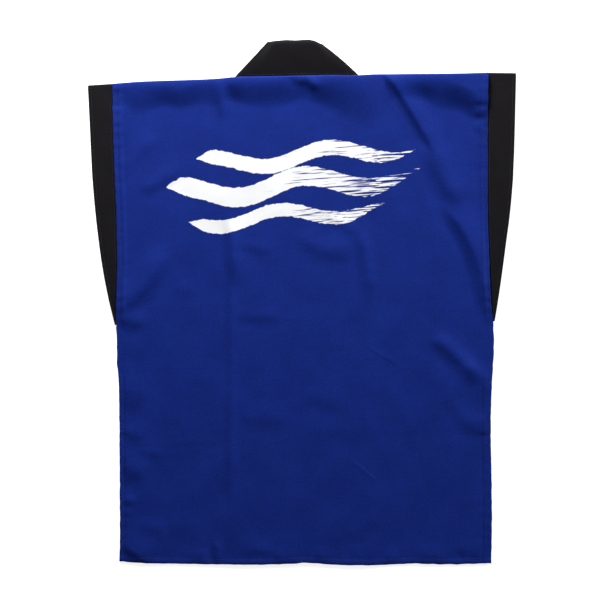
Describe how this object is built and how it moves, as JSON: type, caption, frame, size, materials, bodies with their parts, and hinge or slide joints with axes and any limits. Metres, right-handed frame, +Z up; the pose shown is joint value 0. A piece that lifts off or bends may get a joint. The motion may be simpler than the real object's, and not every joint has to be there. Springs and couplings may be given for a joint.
{
  "type": "jinbaori festival vest laid flat",
  "caption": "Sleeveless open-front vest laid flat with its back up: straight body with side slits, contrast arm bands, and a long collar band that folds over at the nape.",
  "frame": {"origin": "under the middle of the vest, on the surface it lies on", "axes": "+Z up from the surface; +Y from the hem to the collar; +X to the right as the back is seen from above"},
  "size_m": [0.6852, 0.8406, 0.0055],
  "materials": {
    "blue_twill": "fine polyester twill, royal blue, soft sheen",
    "black_twill": "fine polyester twill, black, doubled and pressed flat"
  },
  "bodies": {
    "root": {"back": "blue_twill", "front_left": "blue_twill", "front_right": "blue_twill", "arm_band_left": "black_twill", "arm_band_right": "black_twill", "collar": "black_twill"}
  },
  "joints": []
}
